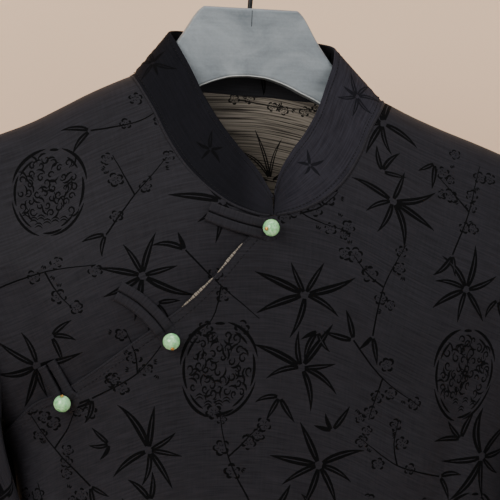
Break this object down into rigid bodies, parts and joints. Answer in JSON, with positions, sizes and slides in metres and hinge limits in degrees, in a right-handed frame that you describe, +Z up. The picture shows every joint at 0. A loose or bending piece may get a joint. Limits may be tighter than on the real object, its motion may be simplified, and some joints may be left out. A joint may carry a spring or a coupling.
{
  "type": "qipao top on a hanger",
  "caption": "Black jacquard qipao top with an open stand collar, long sleeves and jade bead buttons on a slanted placket, hanging on a plain grey hanger with a wire hook.",
  "frame": {"origin": "top of the inside of the hanger's hook, where it rests on a rod", "axes": "+Z up, -Y out of the front of the top, +X towards the wearer's left sleeve"},
  "size_m": [0.562, 0.1089, 0.6934],
  "materials": {
    "cloth": "satin",
    "jade": "gloss",
    "gold": "polished",
    "hanger": "brushed",
    "hook": "satin"
  },
  "bodies": {
    "root": {"hanger": "hanger", "hanger_hook": "hook", "back": "cloth", "front_under": "cloth", "front_main": "cloth", "sleeve_right": "cloth", "sleeve_left": "cloth", "collar": "cloth", "loop_neck": "cloth", "bead_neck": "jade", "pin_neck": "gold", "loop_chest": "cloth", "bead_chest": "jade", "pin_chest": "gold", "loop_side": "cloth", "bead_side": "jade", "pin_side": "gold"}
  },
  "joints": []
}
